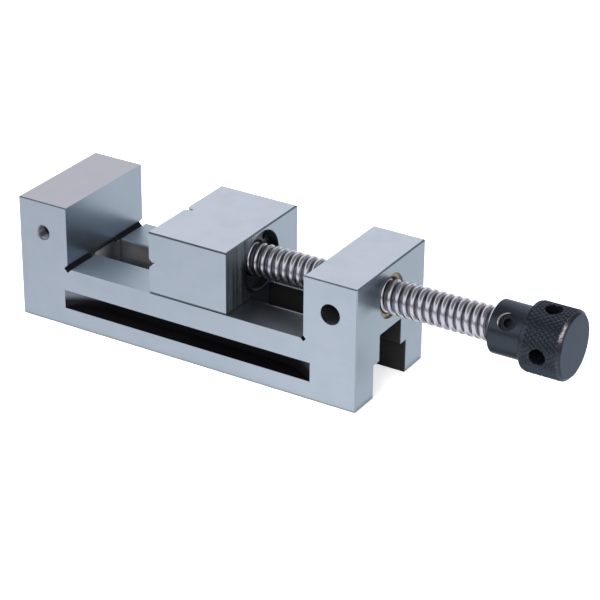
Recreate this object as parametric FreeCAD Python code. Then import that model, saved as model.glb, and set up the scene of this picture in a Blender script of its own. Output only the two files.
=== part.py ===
import FreeCAD, Part
import math
import os

# Precision toolmaker's vise, closed by a trapezoidal leadscrew with a knurled knob.
# Millimetres. The origin is on the base plane, at mid-width, under the middle of the fixed jaw.
# +X runs along the bed from the fixed jaw to the knob, +Z is up, and -Y is the near side.

# Ground steel body: fixed jaw, bed with two rails, and rear block in one piece
body_length = 189.0
body_width = 63.0
body_height = 63.0
bed_height = 31.0
fixed_jaw_thickness = 28.0
rear_block_thickness = 28.0
edge_break = 0.5
fixed_corner_relief = 2.1       # half diagonal of the square relief groove at the fixed jaw
rear_corner_relief = 1.5        # the same at the rear block

# T-shaped channel: a narrow slot between the rails over a wide channel open at the base
slot_width = 20.0
slot_edge_break = 0.8
slot_end_radius = 3.0
slot_end_bite = 1.0             # the slot's end wall lies this far behind the clamping face
channel_width = 30.5
channel_height = 17.5

# Long slots in both sides for step clamps, cut by a disc cutter that leaves curved run-outs
side_slot_length = 139.0
side_slot_height = 9.8
side_slot_depth = 9.6
side_slot_foot = 9.5            # solid height left under the slot
side_slot_overlap = 2.3         # the slot starts this far under the fixed jaw
side_cutter_radius = 38.0

# Tapped hole for a work stop, as its tapping-drill bore with a countersunk mouth
stop_thread = 8.0
stop_thread_core = 6.8
stop_hole_depth = 16.0

# Movable jaw with its tongue
opening_at_rest = 48.1
jaw_length = 43.0
vee_width = 4.6                 # mouth of the two 90 degree vees in the clamping face
vee_relief_width = 1.6
vee_relief_depth = 1.5
way_clearance = 0.02            # jaw sole over the rails
tongue_clearance = 0.05         # each side of the tongue
tongue_inset = 2.0              # tongue and keeper plate end this far inside the jaw

# Keeper plate under the rails
keeper_thickness = 11.0
keeper_side_clearance = 0.25
keeper_lift_clearance = 0.1     # under the rails' ledges
keeper_screw_spacing_x = 26.0
keeper_screw_spacing_y = 11.0
keeper_washer_thickness = 1.2
keeper_thread_engagement = 11.0
tapped_hole_spare = 1.5         # tapped holes run this much deeper than their screws

# Leadscrew
thread_diameter = 16.0
running_clearance = 0.05        # radial, of the screw in its nut and its pilot in the jaw
flange_diameter = 24.0
flange_thickness = 4.0
pilot_diameter = 10.0
pilot_length = 6.0
pilot_end_gap = 1.0
journal_length = 20.0
journal_diameter = 12.0
journal_flat_depth = 0.8

# Bore in the movable jaw, with the pieces that hold the screw's flange
jaw_bore_diameter = 28.6
jaw_bore_break = 0.4
ring_nut_recess = 4.3
ring_nut_thickness = 8.0
ring_nut_bore = 17.0
ring_nut_pin_hole = 3.0
ring_nut_pin_circle = 23.0
ring_nut_pin_depth = 3.0
ring_nut_pin_holes = 4
thrust_washer_thickness = 1.5
thrust_washer_clearance = 0.3   # radial, inside the jaw's bore
pilot_washer_clearance = 0.5    # radial, of the front washer round the pilot
float_clearance = 0.05          # axial play of the flange between its washers
seat_clearance = 0.02           # radial, of pieces screwed or pressed into a bore

# Bronze nut in the rear block
nut_diameter = 22.0
nut_recess = 1.0
nut_mouth_break = 0.8

# Knob
knob_gap = 55.0                 # from the rear block to the knob's collar at rest
collar_diameter = 25.2
collar_length = 17.0
collar_break = 0.5
head_diameter = 33.0
head_length = 20.5
head_break = 1.6
head_front_break = 0.8
bar_hole_diameter = 8.0
bar_hole_from_end = 10.6        # centre of the bar holes from the knob's end face
bar_holes_across = 2
knob_turn_at_rest = 4.0         # degrees, top towards the near side
knob_bore_end_gap = 1.0

# Hex-socket screws: thread size, length and socket width across flats
keeper_screw = {"size": 5.0, "head": 8.5, "head_height": 5.0, "socket": 4.0, "socket_depth": 2.5}
nut_lock_screw = {"size": 10.0, "length": 10.0, "socket": 5.0, "socket_depth": 4.0}
ring_lock_screw = {"size": 4.0, "length": 8.0, "socket": 2.0, "socket_depth": 1.8}
knob_lock_screw = {"size": 8.0, "length": 6.0, "socket": 4.0, "socket_depth": 3.0}
grub_clearance = 0.02           # radial, of a grub screw in its tapped hole
lock_hole_break = 0.2           # at the mouth of the nut lock screw's hole
counterbore_clearance = 0.4     # radial, round a cap screw's head
counterbore_spare = 0.6         # depth over the head
screw_hole_clearance = 0.25     # radial, of a cap screw in the keeper plate

# Places worked out from the sizes
half_width = body_width / 2
fixed_end = -fixed_jaw_thickness / 2
fixed_face = fixed_jaw_thickness / 2
rear_end = fixed_end + body_length
rear_face = rear_end - rear_block_thickness
rear_middle = rear_end - rear_block_thickness / 2
axis_height = (bed_height + body_height) / 2
jaw_front = fixed_face + opening_at_rest
jaw_rear = jaw_front + jaw_length
jaw_middle = (jaw_front + jaw_rear) / 2
jaw_sole = bed_height + way_clearance
tongue_width = slot_width - 2 * tongue_clearance
keeper_top = channel_height - keeper_lift_clearance
keeper_bottom = keeper_top - keeper_thickness
ring_nut_rear = jaw_rear - ring_nut_recess
ring_nut_front = ring_nut_rear - ring_nut_thickness
flange_rear = ring_nut_front - thrust_washer_thickness - float_clearance
flange_front = flange_rear - flange_thickness
jaw_bore_end = flange_front - float_clearance - thrust_washer_thickness
collar_front = rear_end + knob_gap
head_front = collar_front + collar_length
knob_end = head_front + head_length
bar_hole_x = knob_end - bar_hole_from_end
journal_end = collar_front + journal_length

along_x = FreeCAD.Vector(1, 0, 0)
along_y = FreeCAD.Vector(0, 1, 0)
along_z = FreeCAD.Vector(0, 0, 1)


def point(x, y, z):
    return FreeCAD.Vector(x, y, z)


def block(x_span, y_span, z_span):
    """A box between pairs of faces."""
    size = [span[1] - span[0] for span in (x_span, y_span, z_span)]
    return Part.makeBox(*size, point(x_span[0], y_span[0], z_span[0]))


def rod(diameter, start, end):
    """A round bar between two points."""
    return Part.makeCylinder(diameter / 2, (end - start).Length, start, end - start)


def cone(start_diameter, end_diameter, start, end):
    """A tapered round bar between two points."""
    length = (end - start).Length
    return Part.makeCone(start_diameter / 2, end_diameter / 2, length, start, end - start)


def prism(outline, direction):
    """A solid swept straight from a closed outline of points."""
    return Part.Face(Part.makePolygon(outline + outline[:1])).extrude(direction)


def turned(profile, axis_y, axis_z):
    """A solid of revolution about a line along X, from (x, radius) pairs."""
    outline = [point(x, axis_y, axis_z + radius) for x, radius in profile]
    face = Part.Face(Part.makePolygon(outline + outline[:1]))
    return face.revolve(point(0, axis_y, axis_z), along_x, 360)


def hexagon(across_flats, start, end):
    """A six-sided bar between two points, for sockets."""
    direction = end - start
    radius = across_flats / math.sqrt(3)
    side = along_z if abs(direction.normalize().dot(along_z)) < 0.9 else along_x
    side = side.cross(direction).normalize()
    other = direction.cross(side)
    outline = []
    for corner in range(6):
        angle = math.radians(60 * corner)
        outline.append(start + side * (radius * math.cos(angle)) + other * (radius * math.sin(angle)))
    return prism(outline, end - start)


def break_edges(solid, size, test):
    """Chamfers the edges whose middle passes a test."""
    return solid.makeChamfer(size, [edge for edge in solid.Edges if test(edge.CenterOfMass)])


def near(value, target):
    return abs(value - target) < 1e-6


def square_groove(corner_x, half_diagonal):
    """A relief groove across the bed, square in section and standing on its corner."""
    outline = [
        point(corner_x - half_diagonal, -half_width, bed_height),
        point(corner_x, -half_width, bed_height - half_diagonal),
        point(corner_x + half_diagonal, -half_width, bed_height),
        point(corner_x, -half_width, bed_height + half_diagonal),
    ]
    return prism(outline, along_y * body_width)


def body_block():
    """Fixed jaw, bed and rear block. The clamping face keeps its sharp edges."""
    outline = [
        point(fixed_end, -half_width, 0),
        point(rear_end, -half_width, 0),
        point(rear_end, -half_width, body_height),
        point(rear_face, -half_width, body_height),
        point(rear_face, -half_width, bed_height),
        point(fixed_face, -half_width, bed_height),
        point(fixed_face, -half_width, body_height),
        point(fixed_end, -half_width, body_height),
    ]

    def outside(middle):
        at_top = near(middle.z, body_height) and not near(middle.x, fixed_face)
        at_end = near(middle.x, fixed_end) or near(middle.x, rear_end)
        return at_top or near(middle.z, 0) or (at_end and near(abs(middle.y), half_width))

    return break_edges(prism(outline, along_y * body_width), edge_break, outside)


def slot_outline(width, low, high):
    """A slot seen from above, open at the rear end, with rounded corners at its end wall."""
    end = fixed_face - slot_end_bite
    solid = block((end, rear_end), (-width / 2, width / 2), (low, high))
    return solid.makeFillet(
        slot_end_radius,
        [edge for edge in solid.Edges
         if near(edge.CenterOfMass.x, end) and near(abs(edge.CenterOfMass.y), width / 2)],
    )


def slot_edge_vee(side):
    """The broken top edge of one rail along the slot."""
    edge_y = side * slot_width / 2
    outline = [
        point(fixed_face, edge_y - side * slot_edge_break, bed_height + slot_edge_break),
        point(fixed_face, edge_y + side * 2 * slot_edge_break, bed_height + slot_edge_break),
        point(fixed_face, edge_y - side * slot_edge_break, bed_height - 2 * slot_edge_break),
    ]
    return prism(outline, along_x * (rear_face - fixed_face))


def side_slot(side):
    """A long slot in one side: square in height, and a disc's sweep in plan."""
    centre_depth = side_cutter_radius - side_slot_depth
    run_out = math.sqrt(side_cutter_radius ** 2 - centre_depth ** 2)
    start = fixed_face - side_slot_overlap
    first = start + run_out
    last = start + side_slot_length - run_out
    cutter_y = side * (half_width + centre_depth)
    low = side_slot_foot
    disc_top = along_z * side_slot_height
    solid = block(
        (first, last),
        sorted((cutter_y, side * (half_width - side_slot_depth))),
        (low, low + side_slot_height),
    )
    for centre_x in (first, last):
        centre = point(centre_x, cutter_y, low)
        solid = solid.fuse(rod(2 * side_cutter_radius, centre, centre + disc_top))
    return solid


def side_hole(centre_x, mouth_diameter, diameter, depth):
    """A hole into the near side at the screw's height, with a 45 degree countersink."""
    mouth = point(centre_x, -half_width, axis_height)
    sink = (mouth_diameter - diameter) / 2
    solid = rod(diameter, mouth, mouth + along_y * depth)
    return solid.fuse(cone(mouth_diameter, diameter, mouth, mouth + along_y * sink))


def stop_hole():
    """The blind tapped hole in the middle of the fixed jaw."""
    return side_hole(0, stop_thread, stop_thread_core, stop_hole_depth)


def nut_lock_hole():
    """The hole in the rear block that reaches the bronze nut."""
    diameter = nut_lock_screw["size"] + 2 * grub_clearance
    to_nut = half_width - nut_diameter / 2
    return side_hole(rear_middle, diameter + 2 * lock_hole_break, diameter, to_nut)


def vise_body():
    solid = body_block()
    solid = solid.cut(slot_outline(slot_width, 0, bed_height))
    solid = solid.cut(slot_outline(channel_width, 0, channel_height))
    solid = solid.cut(block(
        (fixed_face - slot_end_bite, fixed_face + slot_end_radius),
        (-slot_width / 2 + slot_end_radius, slot_width / 2 - slot_end_radius),
        (bed_height, bed_height + fixed_corner_relief - slot_end_bite),
    ))
    for side in (-1, 1):
        solid = solid.cut(slot_edge_vee(side))
        solid = solid.cut(side_slot(side))
    solid = solid.cut(square_groove(fixed_face, fixed_corner_relief))
    solid = solid.cut(square_groove(rear_face, rear_corner_relief))
    solid = solid.cut(stop_hole())
    solid = solid.cut(nut_lock_hole())
    nut_bore = rod(
        nut_diameter + 2 * seat_clearance,
        point(rear_face, 0, axis_height),
        point(rear_end, 0, axis_height),
    )
    return solid.cut(nut_bore)


def vee_groove(start, run, across):
    """A 90 degree vee with a narrow relief at its root, cut into the clamping face."""
    half = vee_width / 2
    relief = vee_relief_width / 2
    root = half + vee_relief_depth
    profile = [
        (0, -half), (half - relief, -relief), (root, -relief),
        (root, relief), (half - relief, relief), (0, half),
    ]
    return prism([start + along_x * depth + across * offset for depth, offset in profile], run)


def jaw_block():
    """The jaw over the bed. Its clamping face keeps its sharp edges."""
    solid = block((jaw_front, jaw_rear), (-half_width, half_width), (jaw_sole, body_height))

    def outside(middle):
        upright = near(abs(middle.y), half_width) and near(middle.z, (jaw_sole + body_height) / 2)
        return not near(middle.x, jaw_front) and not upright

    return break_edges(solid, edge_break, outside)


def keeper_screw_places():
    """Where the keeper's cap screws stand, seen from above."""
    return [
        (jaw_middle + side_x * keeper_screw_spacing_x / 2, side_y * keeper_screw_spacing_y / 2)
        for side_x in (-1, 1) for side_y in (-1, 1)
    ]


def movable_jaw():
    solid = jaw_block()
    tongue = block(
        (jaw_front + tongue_inset, jaw_rear - tongue_inset),
        (-tongue_width / 2, tongue_width / 2),
        (keeper_top, jaw_sole + edge_break),
    )
    tongue = break_edges(tongue, edge_break, lambda middle: near(abs(middle.y), tongue_width / 2)
                         and near(middle.z, (keeper_top + jaw_sole + edge_break) / 2))
    solid = solid.fuse(tongue).removeSplitter()
    flat_vee = vee_groove(point(jaw_front, -half_width, axis_height), along_y * body_width, along_z)
    upright_vee = vee_groove(point(jaw_front, 0, jaw_sole), along_z * (body_height - jaw_sole), along_y)
    solid = solid.cut(flat_vee).cut(upright_vee)
    mouth_x = jaw_rear - jaw_bore_break
    bore_radius = jaw_bore_diameter / 2
    pilot_radius = pilot_diameter / 2 + running_clearance
    pilot_hole_end = jaw_bore_end - pilot_length - pilot_end_gap
    solid = solid.cut(turned([
        (pilot_hole_end, 0),
        (pilot_hole_end, pilot_radius),
        (jaw_bore_end, pilot_radius),
        (jaw_bore_end, bore_radius),
        (mouth_x, bore_radius),
        (jaw_rear, bore_radius + jaw_bore_break),
        (jaw_rear, 0),
    ], 0, axis_height))
    for place_x, place_y in keeper_screw_places():
        foot = point(place_x, place_y, keeper_top)
        depth = keeper_thread_engagement + tapped_hole_spare
        core = keeper_screw["size"] + 2 * grub_clearance
        solid = solid.cut(rod(core, foot, foot + along_z * depth))
    lock_x = (ring_nut_front + ring_nut_rear) / 2
    return solid.cut(rod(
        ring_lock_screw["size"] + 2 * grub_clearance,
        point(lock_x, 0, keeper_top),
        point(lock_x, 0, axis_height),
    ))


def keeper_plate():
    """The plate that runs under the rails and holds the jaw down."""
    half = channel_width / 2 - keeper_side_clearance
    solid = block(
        (jaw_front + tongue_inset, jaw_rear - tongue_inset),
        (-half, half),
        (keeper_bottom, keeper_top),
    )
    solid = break_edges(solid, edge_break, lambda middle: not near(middle.z, keeper_top))
    sink = keeper_screw["head_height"] + keeper_washer_thickness + counterbore_spare
    for place_x, place_y in keeper_screw_places():
        foot = point(place_x, place_y, keeper_bottom)
        hole = keeper_screw["size"] + 2 * screw_hole_clearance
        solid = solid.cut(rod(hole, foot, foot + along_z * keeper_thickness))
        counterbore = keeper_screw["head"] + 2 * counterbore_clearance
        solid = solid.cut(rod(counterbore, foot, foot + along_z * sink))
    return solid


def keeper_washer_seat():
    """Height of the counterbore's floor, where the spring washers bear."""
    return keeper_bottom + keeper_screw["head_height"] + keeper_washer_thickness + counterbore_spare


def cap_screw(place_x, place_y):
    """A socket cap screw standing upwards, with its head under the spring washer."""
    seat = point(place_x, place_y, keeper_washer_seat() - keeper_washer_thickness)
    foot = seat - along_z * keeper_screw["head_height"]
    tip = point(place_x, place_y, keeper_top + keeper_thread_engagement)
    solid = rod(keeper_screw["head"], foot, seat).fuse(rod(keeper_screw["size"], seat, tip))
    socket = hexagon(keeper_screw["socket"], foot, foot + along_z * keeper_screw["socket_depth"])
    return solid.removeSplitter().cut(socket)


def spring_washer(place_x, place_y):
    """A washer between a cap screw's head and the keeper plate."""
    seat = point(place_x, place_y, keeper_washer_seat())
    foot = seat - along_z * keeper_washer_thickness
    hole = rod(keeper_screw["size"] + 2 * screw_hole_clearance, foot, seat)
    return rod(keeper_screw["head"], foot, seat).cut(hole)


def grub_screw(screw, tip, outward):
    """A set screw whose tip is at a point and whose socket faces outward."""
    size = screw["size"]
    face = tip + outward * screw["length"]
    socket = hexagon(screw["socket"], face - outward * screw["socket_depth"], face)
    return rod(size, tip, face).cut(socket)


def leadscrew():
    """Pilot, flange, threaded length as its outer cylinder, and journal for the knob."""
    pilot_start = flange_front - thrust_washer_thickness - float_clearance - pilot_length
    neck_radius = thread_diameter / 2
    flat_z = axis_height + journal_diameter / 2 - journal_flat_depth
    solid = turned([
        (pilot_start, 0),
        (pilot_start, pilot_diameter / 2),
        (flange_front, pilot_diameter / 2),
        (flange_front, flange_diameter / 2),
        (flange_rear, flange_diameter / 2),
        (flange_rear, neck_radius),
        (collar_front, neck_radius),
        (collar_front, journal_diameter / 2),
        (journal_end, journal_diameter / 2),
        (journal_end, 0),
    ], 0, axis_height)
    flat = block(
        (collar_front, journal_end),
        (-journal_diameter, journal_diameter),
        (flat_z, axis_height + journal_diameter),
    )
    return solid.cut(turn_with_knob(flat, lock_screw_angle()))


def thrust_washer(rear_x, hole_diameter):
    """A bronze washer against one side of the screw's flange."""
    outer = jaw_bore_diameter / 2 - thrust_washer_clearance
    return turned([
        (rear_x - thrust_washer_thickness, hole_diameter / 2),
        (rear_x - thrust_washer_thickness, outer),
        (rear_x, outer),
        (rear_x, hole_diameter / 2),
    ], 0, axis_height)


def ring_nut():
    """The threaded ring that closes the jaw's bore, with holes for a pin spanner."""
    outer = jaw_bore_diameter / 2 - seat_clearance
    solid = turned([
        (ring_nut_front, ring_nut_bore / 2),
        (ring_nut_front, outer),
        (ring_nut_rear, outer),
        (ring_nut_rear, ring_nut_bore / 2 + edge_break),
        (ring_nut_rear - edge_break, ring_nut_bore / 2),
    ], 0, axis_height)
    for number in range(ring_nut_pin_holes):
        angle = math.radians(45 + 360 / ring_nut_pin_holes * number)
        offset_y = ring_nut_pin_circle / 2 * math.sin(angle)
        offset_z = ring_nut_pin_circle / 2 * math.cos(angle)
        mouth = point(ring_nut_rear, offset_y, axis_height + offset_z)
        solid = solid.cut(rod(ring_nut_pin_hole, mouth - along_x * ring_nut_pin_depth, mouth))
    return solid


def leadscrew_nut():
    """The bronze nut in the rear block. Its thread is modelled as a plain running bore."""
    outer = nut_diameter / 2
    bore = thread_diameter / 2 + running_clearance
    rear = rear_end - nut_recess
    return turned([
        (rear_face, bore + nut_mouth_break),
        (rear_face, outer),
        (rear, outer),
        (rear, bore + nut_mouth_break),
        (rear - nut_mouth_break, bore),
        (rear_face + nut_mouth_break, bore),
    ], 0, axis_height)


def turn_with_knob(solid, extra_angle=0):
    """Turns a solid about the screw's axis by the knob's rest angle and a further angle."""
    turned_solid = solid.copy()
    turned_solid.rotate(point(0, 0, axis_height), along_x, knob_turn_at_rest + extra_angle)
    return turned_solid


def lock_screw_angle():
    """The knob's lock screw lies midway between two bar holes."""
    return 90 / bar_holes_across


def handle_knob():
    """Collar and knurled head, with crossed bar holes and a blind bore for the journal."""
    collar = collar_diameter / 2
    head = head_diameter / 2
    bore = journal_diameter / 2 + seat_clearance
    solid = turned([
        (journal_end + knob_bore_end_gap, 0),
        (journal_end + knob_bore_end_gap, bore),
        (collar_front, bore),
        (collar_front, collar - collar_break),
        (collar_front + collar_break, collar),
        (head_front, collar),
        (head_front, head - head_front_break),
        (head_front + head_front_break, head),
        (knob_end - head_break, head),
        (knob_end, head - head_break),
        (knob_end, 0),
    ], 0, axis_height)
    for number in range(bar_holes_across):
        solid = solid.cut(turn_with_knob(bar_hole(), 180 / bar_holes_across * number))
    centre = point(lock_screw_x(), 0, axis_height)
    lock_hole = rod(
        knob_lock_screw["size"] + 2 * grub_clearance,
        centre,
        centre + along_z * collar_diameter,
    )
    return solid.cut(turn_with_knob(lock_hole, lock_screw_angle()))


def bar_hole():
    """One hole right through the head for a tommy bar."""
    centre = point(bar_hole_x, 0, axis_height)
    reach = along_z * (head_diameter / 2)
    return rod(bar_hole_diameter, centre - reach, centre + reach)


def lock_screw_x():
    """The lock screw stands in the middle of the collar."""
    return collar_front + collar_length / 2


def knob_screw():
    tip = point(lock_screw_x(), 0, axis_height + journal_diameter / 2 - journal_flat_depth)
    return turn_with_knob(grub_screw(knob_lock_screw, tip, along_z), lock_screw_angle())


def nut_screw():
    """The set screw deep in the rear block's side hole, which locks the bronze nut."""
    tip = point(rear_middle, -nut_diameter / 2, axis_height)
    return grub_screw(nut_lock_screw, tip, along_y * -1)


def ring_screw():
    """The set screw in the tongue that locks the ring nut from below."""
    tip = point((ring_nut_front + ring_nut_rear) / 2, 0, axis_height - jaw_bore_diameter / 2)
    return grub_screw(ring_lock_screw, tip, along_z * -1)


def parts():
    """Every piece of the vise by name."""
    pilot_washer_hole = pilot_diameter + 2 * pilot_washer_clearance
    pieces = {
        "vise_body": vise_body(),
        "leadscrew_nut": leadscrew_nut(),
        "nut_lock_screw": nut_screw(),
        "movable_jaw": movable_jaw(),
        "keeper_plate": keeper_plate(),
        "front_thrust_washer": thrust_washer(flange_front - float_clearance, pilot_washer_hole),
        "rear_thrust_washer": thrust_washer(ring_nut_front, ring_nut_bore),
        "ring_nut": ring_nut(),
        "ring_nut_lock_screw": ring_screw(),
        "leadscrew": leadscrew(),
        "handle_knob": handle_knob(),
        "knob_lock_screw": knob_screw(),
    }
    for number, place in enumerate(keeper_screw_places(), start=1):
        pieces[f"keeper_screw_{number}"] = cap_screw(*place)
        pieces[f"keeper_washer_{number}"] = spring_washer(*place)
    return pieces


os.makedirs("parts", exist_ok=True)
for name, shape in parts().items():
    if not shape.isValid():
        raise ValueError(f"{name} is not a valid solid")
    shape = shape.Solids[0] if len(shape.Solids) == 1 else shape
    shape.exportStep(os.path.join("parts", f"{name}.step"))
    print(f"{name}: {len(shape.Solids)} solid, {shape.Volume / 1000:.2f} cm3")
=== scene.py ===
import bmesh
import bpy
from math import cos, pi, radians, sin
from mathutils import Matrix, Vector


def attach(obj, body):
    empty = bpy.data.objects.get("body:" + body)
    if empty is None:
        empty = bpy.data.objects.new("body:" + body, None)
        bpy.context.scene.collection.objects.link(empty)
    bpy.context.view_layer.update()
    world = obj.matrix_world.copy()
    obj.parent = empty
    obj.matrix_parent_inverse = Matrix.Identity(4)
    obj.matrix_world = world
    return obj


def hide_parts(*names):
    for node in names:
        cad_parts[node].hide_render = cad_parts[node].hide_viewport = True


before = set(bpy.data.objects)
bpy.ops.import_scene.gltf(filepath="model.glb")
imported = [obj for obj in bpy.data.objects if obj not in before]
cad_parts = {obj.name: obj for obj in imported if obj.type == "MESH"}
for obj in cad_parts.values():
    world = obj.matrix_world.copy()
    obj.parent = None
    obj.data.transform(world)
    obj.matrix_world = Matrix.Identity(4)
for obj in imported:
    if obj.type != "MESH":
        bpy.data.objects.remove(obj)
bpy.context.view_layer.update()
print("frame loaded:", len(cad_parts), "nodes")

mm = 0.001
axisHeight = 47 * mm  # the leadscrew's axis over the base, along X

# The photograph's viewpoint
viewpoint = {
    "place": (0.63193, -0.835991, 0.529179),
    "forward": (-0.46129, 0.762341, -0.453924),
    "up": (-0.243361, 0.383273, 0.890998),
    "lens": 139.903,
    "sensor": 36,
}


def addCamera(view):
    forward = Vector(view["forward"]).normalized()
    right = forward.cross(Vector(view["up"])).normalized()
    up = right.cross(forward)
    turn = Matrix((right, up, -forward)).transposed().to_euler()
    bpy.ops.object.camera_add(location=view["place"], rotation=turn)
    camera = bpy.context.object
    camera.name = "photoCamera"
    camera.data.lens = view["lens"]
    camera.data.sensor_width = view["sensor"]
    bpy.context.scene.camera = camera


addCamera(viewpoint)
print("camera placed")


# Shader nodes as expressions
class Wire:
    def __init__(self, shop, socket):
        self.shop = shop
        self.socket = socket

    def maths(self, operation, first, second=0.0):
        return self.shop.node("ShaderNodeMath", {"operation": operation}, {0: first, 1: second})

    def __add__(self, other):
        return self.maths("ADD", self, other)

    def __radd__(self, other):
        return self.maths("ADD", other, self)

    def __sub__(self, other):
        return self.maths("SUBTRACT", self, other)

    def __rsub__(self, other):
        return self.maths("SUBTRACT", other, self)

    def __mul__(self, other):
        return self.maths("MULTIPLY", self, other)

    def __rmul__(self, other):
        return self.maths("MULTIPLY", other, self)

    def __truediv__(self, other):
        return self.maths("DIVIDE", self, other)

    def __pow__(self, other):
        return self.maths("POWER", self, other)

    def __gt__(self, other):
        return self.maths("GREATER_THAN", self, other)

    def __lt__(self, other):
        return self.maths("LESS_THAN", self, other)

    def __abs__(self):
        return self.maths("ABSOLUTE", self)

    def atLeast(self, other):
        return self.maths("MAXIMUM", self, other)

    def fract(self):
        return self.maths("FRACT", self)

    def ramp(self, low, high, start=0.0, end=1.0):  # soft step from start to end
        return self.shop.node(
            "ShaderNodeMapRange", {"interpolation_type": "SMOOTHSTEP"},
            {0: self, 1: low, 2: high, 3: start, 4: end},
        )

    def fade(self, span, start=0.0, end=1.0):  # the same between two places in millimetres
        return self.ramp(span[0] * mm, span[1] * mm, start, end)


class Shop:  # one material's or world's node tree
    def __init__(self, owner):
        self.owner = owner
        owner.use_nodes = True
        self.tree = owner.node_tree
        self.tree.nodes.clear()

    def node(self, kind, settings=None, values=None, output=0):
        made = self.tree.nodes.new(kind)
        for name, value in (settings or {}).items():
            setattr(made, name, value)
        for name, value in (values or {}).items():
            if isinstance(value, Wire):
                self.tree.links.new(value.socket, made.inputs[name])
            else:
                made.inputs[name].default_value = value
        return None if output is None else Wire(self, made.outputs[output])

    def blend(self, factor, first, second):  # two colours
        return self.node(
            "ShaderNodeMix", {"data_type": "RGBA"}, {0: factor, 6: first, 7: second}, output=2)

    def noise(self, vector, scale, detail, rough):
        return self.node("ShaderNodeTexNoise", None, {
            "Vector": vector, "Scale": scale, "Detail": detail, "Roughness": rough,
        })

    def stretched(self, vector, scales):
        return self.node("ShaderNodeMapping", None, {"Vector": vector, "Scale": scales})

    def split(self, vector):
        made = self.node("ShaderNodeSeparateXYZ", None, {0: vector})
        return [Wire(self, output) for output in made.socket.node.outputs]

    def where(self):  # object coordinates, height over the screw's axis and distance from it
        place = self.node("ShaderNodeTexCoord", output=3)
        x, y, z = self.split(place)
        rise = z - axisHeight
        reach = (y * y + rise * rise) ** 0.5
        return {"place": place, "x": x, "y": y, "z": z, "rise": rise, "reach": reach}

    def bumped(self, height, strength, distance, values):  # a metal surface with a fine bump
        bump = self.node("ShaderNodeBump", None, {
            "Strength": strength, "Distance": distance, "Height": height,
        })
        return self.node("ShaderNodeBsdfPrincipled", None, {**values, "Normal": bump})

    def finishWith(self, shader, kind="ShaderNodeOutputMaterial"):
        self.node(kind, None, {"Surface": shader}, output=None)


def newMaterial(name):
    return Shop(bpy.data.materials.new(name))


def rgb(red, green, blue):  # screen values, 0 to 255, as linear light
    def linear(value):
        value /= 255
        return value / 12.92 if value <= 0.04045 else ((value + 0.055) / 1.055) ** 2.4
    return (linear(red), linear(green), linear(blue), 1)


# Finishes
groundFinish = {
    "tone": rgb(172, 183, 198),
    "rearTone": rgb(178, 189, 203),       # sides of the rear half
    # painted light: top faces are lighter and bluer than the sides
    "topTone": rgb(186, 194, 209),
    "endTone": rgb(155, 169, 184),        # painted shade: faces across the length are darker and greener, the rear end darker still
    "rearEndTone": rgb(148, 164, 178),
    "fixedTopTone": rgb(172, 172, 182),   # painted shade: the fixed jaw's top is darker and less blue
    "lineTone": rgb(120, 130, 146),
    "cloudTone": rgb(196, 196, 214),
    "stainTone": rgb(150, 167, 178),
    "railTone": rgb(166, 182, 198),       # rails in front of the jaw
    "throatEndTone": rgb(206, 202, 198),
    "throatShadeTone": rgb(54, 52, 55),
    "throatWallTone": rgb(108, 99, 92),
    "stopWallTone": rgb(166, 161, 167),
    "railShadeTone": rgb(110, 116, 119),      # painted shade on the rails behind the jaw
    # painted shade, near black: on the rails' inner parts behind the jaw, and round and inside the
    # jaw's bore
    "paintedShadeTone": rgb(24, 25, 27),
    "markTone": rgb(160, 168, 166),       # upright marks on the jaw's rear face
    "markShadeTone": rgb(70, 74, 72),
    "nutShadeTone": rgb(78, 88, 88),      # beside the nut on the rear end
    # painted shade on the top edge breaks, lighter along the rear top edges
    "edgeTone": rgb(52, 58, 66),
    "rearEdgeTone": rgb(116, 127, 145),
    # painted highlights along the rails' inner edges
    "brightEdgeTone": rgb(206, 208, 218),
    "pocketTone": rgb(24, 21, 22),         # near black in the milled pockets
    "sootTone": rgb(12, 10, 11),
    # painted shade low in the side slots and in the relief grooves, and painted light in the
    # pockets towards the rear
    "deepTone": rgb(6, 4, 7),
    "reliefTone": rgb(17, 18, 27),
    "channelTone": rgb(54, 52, 52),
    "rough": 0.30,
    "metal": 0.94,
    # how much of each mark shows, and along X where the rear tones take over
    "lineShare": 0.07, "cloudShare": 0.10, "stainShare": 0.14, "edgeShare": 0.66,
    "rearFade": (100, 155), "rearEndFade": (110, 170),
}

# Where the ground faces lie, in millimetres
faces = {
    "fixedJaw": 14, "jawRear": 105, "rearBlock": 147, "rearEnd": 175,
    "side": 31.5, "railTop": 31, "top": 63,
}
rearLines = {"jaw": 104.3, "body": 174.2}  # where the painted edge shade along a rear top edge starts, lighter than on the other edges

# Black pockets of the body as (low, high): along X, away from the middle on both sides, and in Z.
# A low of -1 takes in the middle.
pockets = {
    "sideSlot": {"x": (11.6, 150.8), "y": (21.8, 31.45), "z": (9.4, 19.4)},
    "channel": {"x": (13, 174.4), "y": (-1, 15.3), "z": (0.05, 17.6)},
    "throat": {"x": (13, 174.4), "y": (-1, 10.45), "z": (17.4, 30.5)},
    "frontRelief": {"x": (12, 16), "y": (-1, 32), "z": (29.2, 32.8)},
    "rearRelief": {"x": (145.6, 148.4), "y": (-1, 32), "z": (29.2, 32.8)},
}

# Round holes in the near side: their wall's extent in Y, and the depths over which painted shade
# turns it black
sideHoles = {
    "stop": {"x": 0, "radius": 3.6, "y": (-31.4, -10), "dark": (4.0, 7.0), "pitch": 1.25},
    "stopMouth": {"x": 0, "radius": 3.6, "y": (-31.4, -22)},
    "nutLock": {"x": 161, "radius": 5.2, "y": (-31.4, -10), "dark": (0.9, 2.4)},
}


def at(face, by=0.0):
    return (faces[face] + by) * mm


def inMetres(values):
    return [value * mm for value in values]


def within(value, span):
    low, high = inMetres(span)
    return (value > low) * (value < high)


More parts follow.
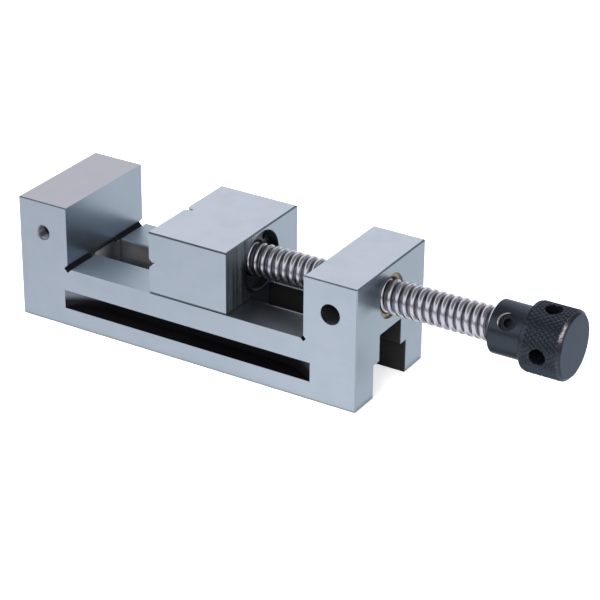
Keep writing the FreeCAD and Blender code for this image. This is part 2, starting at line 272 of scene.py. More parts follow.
def inPocket(name, x, y, z):
    pocket = pockets[name]
    return within(abs(y), pocket["y"]) * within(z, pocket["z"]) * within(x, pocket["x"])


def inHole(name, x, y, z):
    hole = sideHoles[name]
    across, rise = x - hole["x"] * mm, z - axisHeight
    reach = (across * across + rise * rise) ** 0.5
    return (reach < hole["radius"] * mm) * within(y, hole["y"])


def steelLines(shop, place, acrossX):
    # wheel marks: along X on the top and sides, upright on the ends
    fine, drawn = 2600, 14
    along = shop.noise(shop.stretched(place, (drawn, fine, fine)), 1.0, 3.0, 0.6)
    upright = shop.noise(shop.stretched(place, (fine, fine, drawn)), 1.0, 3.0, 0.6)
    return along * (1 - acrossX) + upright * acrossX


def bodyPockets(shop, x, y, z, cloud, flat):
    # how far each place lies in a black milled pocket, or in painted shade: the relief grooves, and
    # the tapped holes, which turn black with depth
    sideSlot = inPocket("sideSlot", x, y, z)
    # painted light: the side slot is less black where daylight reaches in, high up towards its
    # front end
    daylight = x.fade((12, 55), 0.45, 0.0) * z.fade((13, 17))
    channel = inPocket("channel", x, y, z)
    throat = inPocket("throat", x, y, z) * x.fade((32, 75), 0.05, 0.92)
    # painted shade: the relief grooves are near black
    relief = inPocket("frontRelief", x, y, z).atLeast(inPocket("rearRelief", x, y, z))
    relief = relief * (flat < 0.9)
    stop, nutLock = sideHoles["stop"], sideHoles["nutLock"]
    # painted shade: the tapped holes turn black with depth, with painted dark bands along the stop
    # hole's thread
    depth = y + at("side")
    angle = shop.node("ShaderNodeMath", {"operation": "ARCTAN2"}, {0: z - axisHeight, 1: x})
    groove = abs((y / (stop["pitch"] * mm) + angle / (2 * pi)).fract() - 0.5) * 2
    blackness = depth.fade(stop["dark"], 0.10, 0.95)
    stopHole = inHole("stop", x, y, z) * blackness.atLeast(groove.ramp(0.2, 0.8) * 0.35)
    blackness = depth.fade(nutLock["dark"], 0.15, 0.92)
    nutHole = inHole("nutLock", x, y, z) * blackness
    pocket = (sideSlot * (1 - daylight)).atLeast(channel).atLeast(throat)
    pocket = pocket.atLeast(relief * 0.94).atLeast(stopHole).atLeast(nutHole)
    return pocket * (0.93 + 0.07 * cloud), sideSlot * z.fade((17.5, 13.5)), relief


def pocketShader(shop, x, y, z, cloud, flat, finish):
    # the near black matt shader of the pockets, and how far it covers the steel
    pocket, deep, relief = bodyPockets(shop, x, y, z, cloud, flat)
    # painted light: the pockets lighten towards the rear end, more in the side slots, and the
    # channel's end is lighter still
    lighter = x.fade((90, 140)) * (0.5 + 0.4 * (abs(y) > 21 * mm))
    tone = shop.blend(lighter, finish["pocketTone"], finish["channelTone"])
    tone = shop.blend(x.fade((150, 151)), tone, finish["channelTone"])
    # painted shade: darker low in the side slot, and near black in the relief grooves
    tone = shop.blend(deep, tone, finish["deepTone"])
    tone = shop.blend(relief, tone, finish["reliefTone"])
    scale = shop.node("ShaderNodeBsdfPrincipled", None, {
        "Base Color": shop.blend(cloud * 0.4, tone, finish["sootTone"]),
        "Roughness": 0.75, "Specular IOR Level": 0.08,
    })
    return pocket, scale


# How the painted shade round the jaw's bore fades, by the distance from the screw's axis and by the
# height
boreShade = {
    "raggedShade": (21.5, 14.4), "raggedShadeTop": (58, 46), "ring": (18.6, 16.2), "ringTop": (60, 50),
    "farSide": (13, 5), "boreRadius": 14.75, "boreX": (70, 105.05), "boreTop": (56, 50),
}


def rearOfJaw(shop, where, facing, finish, tone, rough):
    # upright wheel marks, and painted shade round the bore's mouth and inside the bore
    place, x, y, z, reach = (where[name] for name in ("place", "x", "y", "z", "reach"))
    rear = (x > at("jawRear", -0.2)) * facing[0]
    nearSide = y.fade((6, -10))
    streak = shop.noise(shop.stretched(place, (1, 560, 16)), 1.0, 3.0, 0.6).ramp(0.42, 0.58)
    raggedShade = shop.noise(place, 380.0, 3.0, 0.6).ramp(0.34, 0.58)
    boreShadow = rear * reach.fade(boreShade["raggedShade"]) * z.fade(boreShade["raggedShadeTop"]) * raggedShade
    ring = rear * reach.fade(boreShade["ring"]) * z.fade(boreShade["ringTop"]) * 0.97
    boreShadow = boreShadow.atLeast(ring) * y.fade(boreShade["farSide"])
    tone = shop.blend(rear * nearSide * 0.6, tone, finish["markTone"])
    tone = shop.blend(rear * nearSide * (1 - streak) * 0.62, tone, finish["markShadeTone"])
    # painted shade: the counterbore is near black inside
    bore = (reach < boreShade["boreRadius"] * mm) * within(x, boreShade["boreX"])
    bore = bore * z.fade(boreShade["boreTop"])
    tone = shop.blend(boreShadow.atLeast(bore) * 0.92, tone, finish["paintedShadeTone"])
    return tone, rough + rear * nearSide * streak * 0.20


# The throat beside the fixed jaw: extents, and how its end is shaded and its far wall lit
throatPlaces = {
    "wall": {"x": (15, 75), "y": (9.9, 10.3), "z": (17, 30.6)},
    "end": {"x": (12, 16.5), "y": (-10.2, 10.2), "z": (17, 30.9)},
    "endShade": (5, -9.5),
    "wallLight": {"x": (16, 25), "low": (20.2, 22.5), "high": (29.6, 27)},
}


def inBox(box, x, y, z):
    return within(x, box["x"]) * within(y, box["y"]) * within(z, box["z"])


def throatTone(shop, x, y, z, finish, tone):
    # the throat's far wall and its end wall, which is light on one side and shaded on the other
    wall, end = (inBox(throatPlaces[name], x, y, z) for name in ("wall", "end"))
    end = end.atLeast(wall * (x < throatPlaces["end"]["x"][1] * mm))
    shade = y.fade(throatPlaces["endShade"])
    endTone = shop.blend(shade, finish["throatShadeTone"], finish["throatEndTone"])
    lit = throatPlaces["wallLight"]
    light = x.fade(lit["x"]) * z.fade(lit["low"]) * z.fade(lit["high"], 0.45, 1.0)
    wallTone = shop.blend(light, finish["throatShadeTone"], finish["throatWallTone"])
    tone = shop.blend(wall * 0.85, tone, wallTone)
    tone = shop.blend(end * 0.95, tone, endTone)
    return tone, end.atLeast(wall * 0.75) * 0.85


# Where the rails change: along X under the jaw, and away from the middle where painted shade lies
railFades = {"front": (64, 98), "shadedRails": (64, 102), "innerShade": (19, 12), "farInnerShade": (24, 14)}


def bodyTone(shop, x, y, z, upwards, cloud, finish, tone, rough):
    # fixed jaw's top in painted shade, rails before the jaw, rails behind it in painted shade,
    # throat and stop hole
    fixedTop = (x < at("fixedJaw", 0.2)) * (z > at("top", -0.1))
    tone = shop.blend(fixedTop, tone, finish["fixedTopTone"])
    rails = (z < at("railTop", 0.05)) * upwards
    front = (x > at("fixedJaw")) * x.fade(railFades["front"], 1.0, 0.0) * rails
    tone = shop.blend(front * 0.8, tone, finish["railTone"])
    tone, throat = throatTone(shop, x, y, z, finish, tone)
    stopMouth = inHole("stopMouth", x, y, z)
    tone = shop.blend(stopMouth * 0.7, tone, finish["stopWallTone"])
    metal = finish["metal"] - throat - front * 0.09 - stopMouth * 0.75
    # painted shade on the rails behind the jaw, darker towards the throat and darkest on the far
    # rail
    shadedRails = x.fade(railFades["shadedRails"]) * (x < at("rearBlock", 0.5)) * rails
    shadedRails = shadedRails * (abs(y) < at("side", -0.2))
    tone = shop.blend(shadedRails * (0.80 + 0.2 * cloud), tone, finish["railShadeTone"])
    innerShade = abs(y).fade(railFades["innerShade"]) * 0.55
    innerShade = innerShade.atLeast(y.fade(railFades["farInnerShade"]) * (y > 0) * 0.97)
    tone = shop.blend(shadedRails * innerShade, tone, finish["paintedShadeTone"])
    return tone, rough + front * 0.12, metal


# Painted highlights along the rails' inner edges, and the painted shade beside the nut on the rear
# end
railLines = {
    "far": (10.35, 10.7), "farX": (60, 104), "farLow": 30.65,
    "near": (-11.5, -10.7), "nearX": (110, 124), "z": (30.4, 31.1),
}
nutShade = {"yInner": (-2, -10), "yOuter": (-33, -20), "top": (62, 57), "bottom": (44, 51)}


def bodyMarks(shop, x, y, z, lines, finish, tone):
    # painted highlights on the inner edges of the rails behind the jaw, and painted shade beside
    # the nut
    farLine = within(y, railLines["far"]) * x.fade(railLines["farX"], 0.10, 1.0)
    farLine = farLine * (z > railLines["farLow"] * mm)
    nearLine = within(y, railLines["near"]) * x.fade(railLines["nearX"]) * 0.6
    bright = farLine.atLeast(nearLine) * (x < at("rearBlock")) * within(z, railLines["z"])
    tone = shop.blend(bright, tone, finish["brightEdgeTone"])
    shaded = (x > at("rearEnd", -0.5)) * y.fade(nutShade["yInner"]) * y.fade(nutShade["yOuter"])
    shaded = shaded * z.fade(nutShade["top"]) * z.fade(nutShade["bottom"])
    tone = shop.blend(shaded * (0.34 + 0.32 * lines), tone, finish["nutShadeTone"])
    return tone, bright * 0.75


def groundSteel(name, finish, kind="plain"):
    shop = newMaterial(name)
    where = shop.where()
    place, x, y, z = (where[name] for name in ("place", "x", "y", "z"))
    normal = shop.split(shop.node("ShaderNodeNewGeometry", output=3))
    facing = [abs(part) for part in normal]
    lines = steelLines(shop, place, facing[0].ramp(0.5, 0.8))
    cloud = shop.noise(place, 38.0, 3.0, 0.55)
    stain = shop.noise(place, 90.0, 3.0, 0.55).ramp(0.42, 0.68)
    flat = facing[0].atLeast(facing[1]).atLeast(facing[2])
    edge = flat.ramp(0.94, 0.86) * normal[2].ramp(0.2, 0.5)  # painted shade on the breaks along the top edges
    upwards = normal[2].ramp(0.8, 0.95)
    tone = shop.blend(x.fade(finish["rearFade"]), finish["tone"], finish["rearTone"])
    # painted shade on faces across the length, darker towards the rear end, and painted light on
    # the top faces
    rearEnd = x.fade(finish["rearEndFade"])
    endTone = shop.blend(rearEnd, finish["endTone"], finish["rearEndTone"])
    tone = shop.blend(facing[0].ramp(0.5, 0.8), tone, endTone)
    tone = shop.blend(upwards, tone, finish["topTone"])
    rough = finish["rough"] + (lines - 0.5) * 0.10 + (cloud - 0.5) * 0.08
    metal = finish["metal"]
    edgeTone = finish["edgeTone"]
    if kind == "body":
        tone, rough, metal = bodyTone(shop, x, y, z, upwards, cloud, finish, tone, rough)
        edge = edge * (1 - (abs(y) < 11.2 * mm) * (z < at("railTop", 0.05)))
    # painted edge shade along the rear top edges, lighter than on the other edges
    if kind in rearLines:
        rearLine = (x > rearLines[kind] * mm) * (z > at("top", -0.7)) * (abs(y) < at("side", -0.3))
        edgeTone = shop.blend(rearLine, edgeTone, finish["rearEdgeTone"])
        edge = edge.atLeast(rearLine * y.fade((-16, 2)) * 1.2)
    if kind == "jaw":
        # painted shade along the bottom and top of the jaw's sides
        band = (z < at("railTop", 1.15)).atLeast(z > at("top", -0.7))
        edge = edge.atLeast(band * (abs(y) > at("side", -0.7)) * 1.2)
        tone, rough = rearOfJaw(shop, where, facing, finish, tone, rough)
    tone = shop.blend(lines.ramp(0.3, 0.7) * finish["lineShare"], tone, finish["lineTone"])
    tone = shop.blend(cloud.ramp(0.35, 0.75) * finish["cloudShare"], tone, finish["cloudTone"])
    tone = shop.blend(stain * finish["stainShare"], tone, finish["stainTone"])
    tone = shop.blend(edge * finish["edgeShare"], tone, edgeTone)
    if kind == "body":
        tone, bright = bodyMarks(shop, x, y, z, lines, finish, tone)
        metal = metal - bright
    shader = shop.bumped(lines, 0.06, 0.02 * mm, {
        "Base Color": tone, "Metallic": metal, "Roughness": rough,
    })
    if kind == "body":
        pocket, scale = pocketShader(shop, x, y, z, cloud, flat, finish)
        shader = shop.node("ShaderNodeMixShader", None, {0: pocket, 1: shader, 2: scale})
    shop.finishWith(shader)
    return shop.owner


blackFinish = {
    "cloudTone": rgb(80, 89, 99), "wornTone": rgb(150, 150, 150),
    "tint": (0.60, 0.65, 0.74, 1),  # tames the reflections at a low angle
}


def blackSteel(name, tone, rough, metal=0.85, wear=None):
    shop = newMaterial(name)
    where = shop.where()
    place = where["place"]
    cloud = shop.noise(place, 160.0, 4.0, 0.6)
    turned = shop.noise(shop.stretched(place, (5200, 60, 60)), 1.0, 2.0, 0.5)
    worn = shop.noise(place, 900.0, 2.0, 0.5).ramp(0.62, 0.80)
    tone = shop.blend(cloud * 0.20, tone, blackFinish["cloudTone"])
    tone = shop.blend(worn * 0.07, tone, blackFinish["wornTone"])
    level = rough + (turned - 0.5) * 0.12 + (cloud - 0.5) * 0.10
    if wear:
        tone, level = wear(shop, where, tone, level)
    shop.finishWith(shop.bumped(turned + cloud * 0.5, 0.12, 0.03 * mm, {
        "Base Color": tone, "Metallic": metal, "Roughness": level,
        "Specular Tint": blackFinish["tint"],
    }))
    return shop.owner


# The knob's lock screw, turned from the top, and the painted highlights, faint wear and end face's
# tone of the blacked knob
knobLock = {"x": 238.5, "angle": 49, "hole": 4.02}
knobWearAndGlint = {
    "tone": rgb(226, 216, 222), "endTone": rgb(63, 70, 80), "endRadius": 14.8, "endX": 267.3,
    "wall": (3.9, 4.6), "wallHeight": (11.6, 12.62), "towards": (0.88, 0.48),
    "crescent": (1.9, 3.2), "rimRadius": 15.4, "rimStart": (265.0, 265.8), "rimEnd": (267.0, 266.4),
}


def knobWearAndGlints(shop, where, tone, level):
    # painted highlights on one side of the lock screw hole's wall and on the lit part of the
    # knurl's outer end, over a faint ragged bare rim all round
    place, x, y, rise, reach = (where[name] for name in ("place", "x", "y", "rise", "reach"))
    w = knobWearAndGlint
    aim = radians(knobLock["angle"])
    along = rise * cos(aim) - y * sin(aim)
    side = y * cos(aim) + rise * sin(aim)
    back = knobLock["x"] * mm - x
    holeReach = (back * back + side * side) ** 0.5
    holeWall = within(holeReach, w["wall"]) * within(along, w["wallHeight"])
    crescent = back * w["towards"][0] + side * w["towards"][1]
    holeWall = holeWall * crescent.fade(w["crescent"])
    rim = x.fade(w["rimStart"]) * x.fade(w["rimEnd"]) * (reach > w["rimRadius"] * mm)
    patch = (rise / reach).ramp(0.46, 0.58) * (rise / reach).ramp(0.92, 0.82) * (y < 0)
    ragged = shop.noise(place, 1500.0, 2.0, 0.6).ramp(0.34, 0.58)
    rim = rim * ragged * (0.06 + 0.94 * patch)
    # painted light: the flat end face has its own, lighter tone
    endFace = (x > w["endX"] * mm) * (reach < w["endRadius"] * mm)
    tone = shop.blend(endFace, tone, w["endTone"])
    tone = shop.blend(holeWall.atLeast(rim * 0.9), tone, w["tone"])
    return tone, level + (rim - 0.5) * 0.06


screwFinish = {
    "tone": rgb(212, 211, 222), "cloudTone": rgb(178, 178, 194), "rootTone": rgb(66, 60, 70),
}


def brightScrewSteel(name):
    shop = newMaterial(name)
    where = shop.where()
    place = where["place"]
    depth = where["reach"].fade((7.85, 6.85))  # from the crest's shoulder to the root
    cloud = shop.noise(place, 420.0, 3.0, 0.6)
    streak = shop.noise(shop.stretched(place, (2400, 160, 160)), 1.0, 2.0, 0.5)
    tone = shop.blend(cloud * 0.4, screwFinish["tone"], screwFinish["cloudTone"])
    # painted shade in the thread's roots
    tone = shop.blend(depth * (0.62 + 0.3 * cloud), tone, screwFinish["rootTone"])
    shop.finishWith(shop.bumped(streak, 0.08, 0.03 * mm, {
        "Base Color": tone, "Metallic": 1.0, "Roughness": 0.20 + streak * 0.08 + depth * 0.12,
    }))
    return shop.owner


bronzeFinish = {
    "tone": rgb(164, 150, 132), "cloudTone": rgb(118, 107, 94), "boreTone": rgb(62, 52, 44),
}


def bronzeMetal(name):
    shop = newMaterial(name)
    where = shop.where()
    place = where["place"]
    cloud = shop.noise(place, 260.0, 4.0, 0.6)
    rings = shop.noise(shop.stretched(place, (3200, 90, 90)), 1.0, 2.0, 0.5)
    tone = shop.blend(cloud.ramp(0.35, 0.7), bronzeFinish["tone"], bronzeFinish["cloudTone"])
    bore = where["reach"].fade((9.5, 8.7))
    tone = shop.blend(bore * 0.75, tone, bronzeFinish["boreTone"])
    shop.finishWith(shop.bumped(rings + cloud * 0.4, 0.15, 0.03 * mm, {
        "Base Color": tone, "Metallic": 0.95, "Roughness": 0.30 + rings * 0.16,
    }))
    return shop.owner


milledFinish = {**groundFinish, "topTone": rgb(140, 146, 154), "rough": 0.4}
steel = {
    "body": groundSteel("groundBody", groundFinish, "body"),
    "jaw": groundSteel("groundJaw", groundFinish, "jaw"),
    "keeper": groundSteel("milledKeeper", milledFinish),
    "screw": brightScrewSteel("brightScrew"),
    "knob": blackSteel("blackKnob", rgb(54, 59, 69), 0.30, wear=knobWearAndGlints),
    "socket": blackSteel("blackSocket", rgb(50, 56, 60), 0.36),
    "deepSocket": blackSteel("deepSocket", rgb(13, 14, 17), 0.45, 0.5),
    "ring": blackSteel("turnedRing", rgb(92, 94, 98), 0.34, 0.9),
    "bronze": bronzeMetal("bronze"),
}
nodeFinish = {
    "vise_body": "body", "movable_jaw": "jaw", "keeper_plate": "keeper",
    "leadscrew_nut": "bronze", "front_thrust_washer": "bronze", "rear_thrust_washer": "bronze",
    "ring_nut": "ring", "ring_nut_lock_screw": "socket", "nut_lock_screw": "deepSocket",
    "knob_lock_screw": "deepSocket", "leadscrew": "screw", "handle_knob": "knob",
    **{f"keeper_screw_{number}": "socket" for number in range(1, 5)},
    **{f"keeper_washer_{number}": "ring" for number in range(1, 5)},
}


def paint(piece, material):
    if piece.material_slots:
        for materialSlot in piece.material_slots:
            materialSlot.material = material
    else:
        piece.data.materials.append(material)


for name, finish in nodeFinish.items():
    paint(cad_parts[name], steel[finish])
print("finishes ready")


# Modelling helpers
def rest():  # back to object mode with nothing selected
    if bpy.context.object and bpy.context.object.mode != "OBJECT":
        bpy.ops.object.mode_set(mode="OBJECT")
    bpy.ops.object.select_all(action="DESELECT")


def pick(kind, test):  # select what passes a test, in edit mode
    bpy.ops.mesh.select_mode(type=kind)
    bpy.ops.mesh.select_all(action="DESELECT")
    mesh = bmesh.from_edit_mesh(bpy.context.object.data)
    parts = {"EDGE": mesh.edges, "FACE": mesh.faces}[kind]
    for part in parts:
        part.select_set(test(part))
    bmesh.update_edit_mesh(bpy.context.object.data)


def lineInXZ(name, points):
    # an outline of (x, radius) in millimetres, drawn by extruding one corner of a plane
    rest()
    bpy.ops.mesh.primitive_plane_add(size=mm, location=(0, 0, axisHeight))
    line = bpy.context.object
    line.name = name
    bpy.ops.object.mode_set(mode="EDIT")
    bpy.ops.mesh.merge(type="CENTER")
    bpy.ops.mesh.select_all(action="SELECT")
    before = Vector((0, 0, 0))
    for number, (x, radius) in enumerate(points):
        here = Vector((x * mm, 0, radius * mm))
        if number == 0:
            bpy.ops.transform.translate(value=here - before)
        else:
            bpy.ops.mesh.extrude_region_move(TRANSFORM_OT_translate={"value": here - before})
        before = here
    bpy.ops.object.mode_set(mode="OBJECT")
    return line


def selectOnly(piece):  # and make it the active one
    rest()
    piece.select_set(True)
    bpy.context.view_layer.objects.active = piece


def applyAll(piece):
    selectOnly(piece)
    for modifier in list(piece.modifiers):
        bpy.ops.object.modifier_apply(modifier=modifier.name)
    bpy.ops.object.transform_apply(location=True, rotation=True, scale=True)


def tidyMesh(piece, distance=0.002):
    selectOnly(piece)
    bpy.ops.object.mode_set(mode="EDIT")
    bpy.ops.mesh.select_all(action="SELECT")
    bpy.ops.mesh.remove_doubles(threshold=distance * mm)
    bpy.ops.mesh.normals_make_consistent(inside=False)
    bpy.ops.object.mode_set(mode="OBJECT")


def spun(name, points, steps):
    # a turned solid about the screw's axis
    piece = lineInXZ(name, points)
    screw = piece.modifiers.new("turn", "SCREW")
    screw.axis = "X"
    screw.angle = 2 * pi
    screw.screw_offset = 0
    screw.steps = screw.render_steps = steps
    screw.use_merge_vertices = True
    applyAll(piece)
    tidyMesh(piece)
    return piece


def bar(name, radius, start, end, flare=0.0):
    # a round bar or cone between two points, used as a cutter
    rest()
    start, end = Vector(start), Vector(end)
    turn = (end - start).to_track_quat("Z", "Y").to_euler()
    bpy.ops.mesh.primitive_cone_add(
        vertices=48, radius1=radius, radius2=radius + flare, depth=(end - start).length,
        location=(start + end) / 2, rotation=turn,
    )
    cutter = bpy.context.object
    cutter.name = name
    return cutter


def combine(piece, other, how):
    boolean = piece.modifiers.new(how.lower(), "BOOLEAN")
    boolean.operation = how
    boolean.solver = "EXACT"
    boolean.object = other
    applyAll(piece)
    bpy.data.objects.remove(other)


def smoothed(piece, angle):
    selectOnly(piece)
    bpy.ops.object.shade_smooth_by_angle(angle=radians(angle))


# Leadscrew: rounded thread, with its flange, pilot and journal, in millimetres as (x, radius)
thread = {
    "start": 94.0, "end": 230.0, "pitch": 4.0, "phase": 2.27, "steps": 72,
    # half a turn of the profile, from the middle of a crest to the middle of a root
    "profile": [
        (0, 8.32), (0.40, 8.29), (0.76, 8.18), (1.05, 7.97), (1.28, 7.66), (1.46, 7.27),
        (1.61, 6.93), (1.79, 6.74), (2.0, 6.68),
    ],
    # the pilot, flange and neck before the thread, and the journal behind it
    "plainEnd": [
        (79.7, 0), (79.7, 4.6), (80.1, 5.0), (87.25, 5.0), (87.25, 11.7), (87.55, 12.0),
        (90.95, 12.0), (91.25, 11.7), (91.25, 7.9), (93.9, 7.9), (94.2, 5.85), (94.2, 0),
    ],
    "journal": [(229.8, 0), (229.8, 6.0), (249.4, 6.0), (250.0, 5.4), (250.0, 0)],
    "flangeSides": 96, "journalSides": 72, "smoothBelow": 40,
}


def threadedScrew():
    t = thread
    first = t["start"] - 2 * t["pitch"]
    first += (t["phase"] - first) % t["pitch"] - t["pitch"] / 2  # the middle of a crest
    turn = t["profile"] + [(t["pitch"] - x, radius) for x, radius in reversed(t["profile"][:-1])]
    piece = lineInXZ("threadedLeadscrew", [(first + x, radius) for x, radius in turn])
    screw = piece.modifiers.new("thread", "SCREW")
    screw.axis = "X"
    screw.angle = 2 * pi
    screw.screw_offset = t["pitch"] * mm
    screw.iterations = int((t["end"] - first) / t["pitch"]) + 3
    screw.steps = screw.render_steps = t["steps"]
    screw.use_merge_vertices = True
    applyAll(piece)
    tidyMesh(piece)
    bpy.ops.object.mode_set(mode="EDIT")
    for x, side in ((t["start"], 1), (t["end"], -1)):
        bpy.ops.mesh.select_all(action="SELECT")
        bpy.ops.mesh.bisect(
            plane_co=(x * mm, 0, 0), plane_no=(side, 0, 0), use_fill=True, clear_inner=True,
        )
    bpy.ops.object.mode_set(mode="OBJECT")
    tidyMesh(piece)
    combine(piece, spun("plainEnds", t["plainEnd"], t["flangeSides"]), "UNION")
    combine(piece, spun("journal", t["journal"], t["journalSides"]), "UNION")
    smoothed(piece, t["smoothBelow"])
    paint(piece, steel["screw"])
    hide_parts("leadscrew")
    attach(piece, "screw")
    return piece


threadedScrew()
print("leadscrew threaded")


# Knob: plain collar and diamond-knurled head
knob = {
    "knurlStart": 247.7, "knurlEnd": 266.4, "around": 44, "rowLength": 3.24,
    "crest": 16.5, "grooveDepth": 0.5, "knurlFlat": 0.60,
    "skirt": 0.93,  # how far the knurl's inner side is drawn in, so that it ends inside the head
    "barHole": 4.0, "barX": 256.9, "restTurn": 4,
    # the collar and the head's core, which ends just over the knurl's floor, as (x, radius)
    "outline": [
        (251.0, 0), (251.0, 6.02), (230.0, 6.02), (230.0, 12.0), (230.15, 12.3), (230.6, 12.6),
        (246.6, 12.6), (247.0, 12.75), (247.0, 15.3), (247.12, 15.7), (247.3, 15.95),
        (247.5, 16.06), (247.8, 16.03), (266.0, 16.03), (267.5, 14.75), (267.5, 0),
    ],
    "outerBreak": [
        (265.7, 16.9), (267.9, 14.5), (268.5, 14.5), (268.5, 18.5), (265.7, 18.5), (265.7, 16.9),
    ],
    "sides": 132, "smoothBelow": 30,
    "countersink": {"radius": 3.97, "flare": 0.75, "from": 11.9, "to": 13.4},
    "cutter": 30,  # half the length of a bar that cuts through
}


def knurledBand():
    k = knob
    floor = (k["crest"] - k["grooveDepth"]) * mm
    rows = round((k["knurlEnd"] - k["knurlStart"]) / k["rowLength"])
    low, high = k["knurlStart"] * mm, k["knurlEnd"] * mm
    middle = (low + high) / 2
    rest()
    bpy.ops.mesh.primitive_cylinder_add(
        vertices=k["around"], radius=floor, depth=high - low, end_fill_type="NOTHING",
        location=(middle, 0, axisHeight), rotation=(0, pi / 2, 0),
    )
    band = bpy.context.object
    band.name = "knurledBand"
    bpy.ops.object.transform_apply(location=True, rotation=True, scale=True)
    bpy.ops.object.mode_set(mode="EDIT")
    for row in range(1, rows):
        bpy.ops.mesh.select_all(action="SELECT")
        bpy.ops.mesh.bisect(plane_co=(low + (high - low) * row / rows, 0, 0), plane_no=(1, 0, 0))
    bpy.ops.mesh.select_all(action="SELECT")
    bpy.ops.mesh.poke()
    tiny = 1e-6

    def squareEdge(edge):  # the squares' own edges, apart from the two rims
        first, second = (vert.co for vert in edge.verts)
        crosswise = abs(first.x - second.x) < tiny
        lengthwise = (first - second).yz.length < tiny
        rim = crosswise and min(abs(first.x - low), abs(first.x - high)) < tiny
        return (crosswise or lengthwise) and not rim

    pick("EDGE", squareEdge)
    bpy.ops.mesh.dissolve_edges(use_verts=False)
    pick("FACE", lambda face: True)
    bpy.ops.mesh.inset(
        thickness=k["knurlFlat"] * mm, depth=k["grooveDepth"] * mm,
        use_individual=True, use_boundary=True,
    )
    pick("EDGE", lambda edge: edge.is_boundary)
    bpy.ops.mesh.extrude_region_move(TRANSFORM_OT_translate={"value": (0, 0, 0)})
    bpy.ops.transform.resize(
        value=(1, k["skirt"], k["skirt"]), center_override=(middle, 0, axisHeight))
    bpy.ops.mesh.bridge_edge_loops()
    bpy.ops.object.mode_set(mode="OBJECT")
    tidyMesh(band, 0.001)
    return band


def acrossKnob(x, angle, reach):  # a point at a height over the knob's axis, turned from the top
    aim = radians(angle)
    return Vector((x * mm, -reach * mm * sin(aim), axisHeight + reach * mm * cos(aim)))


def knobPiece():
    k, lock = knob, knobLock
    piece = spun("knurledKnob", k["outline"], k["sides"])
    combine(piece, knurledBand(), "UNION")
    combine(piece, spun("outerBreak", k["outerBreak"], k["sides"]), "DIFFERENCE")
    for angle in (k["restTurn"], k["restTurn"] + 90):
        ends = [acrossKnob(k["barX"], angle, reach) for reach in (-k["cutter"], k["cutter"])]
        combine(piece, bar("barHole", k["barHole"] * mm, *ends), "DIFFERENCE")
    ends = [acrossKnob(lock["x"], lock["angle"], reach) for reach in (0, k["cutter"])]
    combine(piece, bar("lockHole", lock["hole"] * mm, *ends), "DIFFERENCE")
    sink = k["countersink"]
    ends = [acrossKnob(lock["x"], lock["angle"], sink[name]) for name in ("from", "to")]
    cutter = bar("countersink", sink["radius"] * mm, *ends, flare=sink["flare"] * mm)
    combine(piece, cutter, "DIFFERENCE")
    smoothed(piece, k["smoothBelow"])
    paint(piece, steel["knob"])
    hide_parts("handle_knob")
    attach(piece, "screw")
    return piece


knobPiece()
print("knob knurled")


# Floor, world and lamps
white = (1, 1, 1, 1)
studio = {
    "horizon": 0.24,      # what metal sees of the room: dark low down in front and overhead,
    "sweep": 0.90,        # white low down behind,
    "walls": 1.06,        # with white walls between,
    "overhead": 0.20,
    "gap": (0.454, 0.762, 0.461),   # and a dark gap behind on the right
    "gapLevel": 0.32,
    "worldLevel": 0.62,   # what matt surfaces see
    "aim": (0.09, 0, 0.03),
    "lamps": [
        {"name": "leftLamp", "place": (-0.75, -0.55, 0.75), "size": 0.8, "power": 13},
        {"name": "frontLamp", "place": (0.35, -1.05, 0.70), "size": 0.7, "power": 8},
        {"name": "farLamp", "place": (-0.35, 0.95, 0.80), "size": 0.7, "power": 8},
    ],
}
floorFinish = {
    "size": 6.0, "drop": 0.2,
    "tone": rgb(236, 236, 236),
    "glow": 0.62,
    # the vise's footprint: its middle in X, half its length and half its width
    "footprint": (80.5, 94.5, 31.5),
    "underLevel": 0.1,    # how much light the floor under the vise keeps
    "knobShade": (222, -2),
}


def rayKinds(shop):
    paths = shop.node("ShaderNodeLightPath").socket.node.outputs
    camera, glossy, through = (Wire(shop, paths[name]) for name in (
        "Is Camera Ray", "Is Glossy Ray", "Is Transmission Ray"))
    return camera, glossy.atLeast(through)


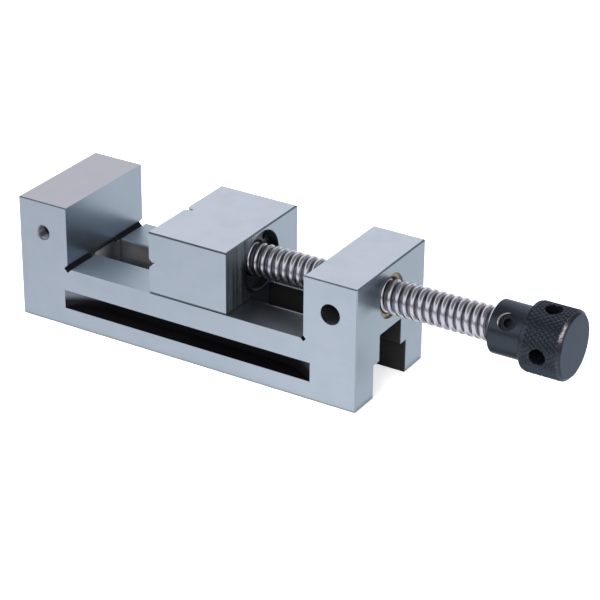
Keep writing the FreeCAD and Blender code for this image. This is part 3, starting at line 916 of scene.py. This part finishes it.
def addFloor():
    rest()
    finish = floorFinish
    bpy.ops.mesh.primitive_plane_add(size=finish["size"], location=(0, 0, -finish["drop"] * mm))
    floor = bpy.context.object
    floor.name = "floor"
    bpy.ops.object.transform_apply(location=True)
    shop = newMaterial("paleFloor")
    camera, glossy = rayKinds(shop)
    x, y, z = shop.split(shop.node("ShaderNodeTexCoord", output=3))
    away = (x * x + y * y) ** 0.5
    middle, halfLength, halfWidth = inMetres(finish["footprint"])
    # painted shadows in what metal sees of the floor: dark under the vise and under the knob
    outX = (abs(x - middle) - halfLength).atLeast(0)
    outY = (abs(y) - halfWidth).atLeast(0)
    outside = (outX * outX + outY * outY) ** 0.5
    kept = finish["underLevel"]
    under = outside.fade((0, 3), 0.35, 1.0) * (kept + (1 - kept) * (outside > 0.01 * mm))
    knobX, knobY = inMetres(finish["knobShade"])
    sideX, sideY = x - knobX, y - knobY
    knobShade = ((sideX * sideX + sideY * sideY) ** 0.5).fade((8, 38), 0.42, 1.0)
    farLevel = y.ramp(0.05, 0.40, studio["horizon"], studio["sweep"])
    seenLevel = 1 + (farLevel - 1) * away.ramp(0.30, 0.80)
    seenLevel = seenLevel * x.ramp(-0.12, 0.18, 0.88, 1.06) * under * knobShade
    matt = shop.node("ShaderNodeBsdfDiffuse", None, {"Color": finish["tone"]})
    glow = shop.node("ShaderNodeEmission", None, {"Color": white, "Strength": finish["glow"]})
    shown = shop.node("ShaderNodeAddShader", None, {0: matt, 1: glow})
    mirrored = shop.node("ShaderNodeEmission", None, {"Color": white, "Strength": seenLevel})
    shader = shop.node("ShaderNodeMixShader", None, {0: camera, 1: matt, 2: shown})
    shader = shop.node("ShaderNodeMixShader", None, {0: glossy, 1: shader, 2: mirrored})
    shop.finishWith(shader)
    paint(floor, shop.owner)


def addWorld():
    world = bpy.data.worlds.new("softRoom")
    bpy.context.scene.world = world
    shop = Shop(world)
    camera, glossy = rayKinds(shop)
    direction = shop.node("ShaderNodeTexCoord", output=0)
    across, height = shop.split(direction)[1:]
    low = across.ramp(0.1, 0.6, studio["horizon"], studio["sweep"])
    wall = low + (studio["walls"] - low) * height.ramp(0.08, 0.26)
    mirrored = wall + (studio["overhead"] - wall) * height.ramp(0.60, 0.85)
    gap = shop.node(
        "ShaderNodeVectorMath", {"operation": "DOT_PRODUCT"}, {0: direction, 1: studio["gap"]}, 1)
    mirrored = mirrored + (studio["gapLevel"] - mirrored) * gap.ramp(0.77, 0.95)
    level = studio["worldLevel"] + (mirrored - studio["worldLevel"]) * glossy
    level = level + (1 - level) * camera
    shader = shop.node("ShaderNodeBackground", None, {"Color": white, "Strength": level})
    shop.finishWith(shader, "ShaderNodeOutputWorld")


def addLamp(lamp):
    towards = Vector(studio["aim"]) - Vector(lamp["place"])
    bpy.ops.object.light_add(
        type="AREA", location=lamp["place"], rotation=towards.to_track_quat("-Z", "Y").to_euler())
    light = bpy.context.object
    light.name = lamp["name"]
    light.visible_glossy = False
    light.data.shape = "DISK"
    light.data.size = lamp["size"]
    light.data.energy = lamp["power"]


addFloor()
addWorld()
for lamp in studio["lamps"]:
    addLamp(lamp)
bpy.context.scene.view_settings.view_transform = "Standard"
print("studio lit")

rest()
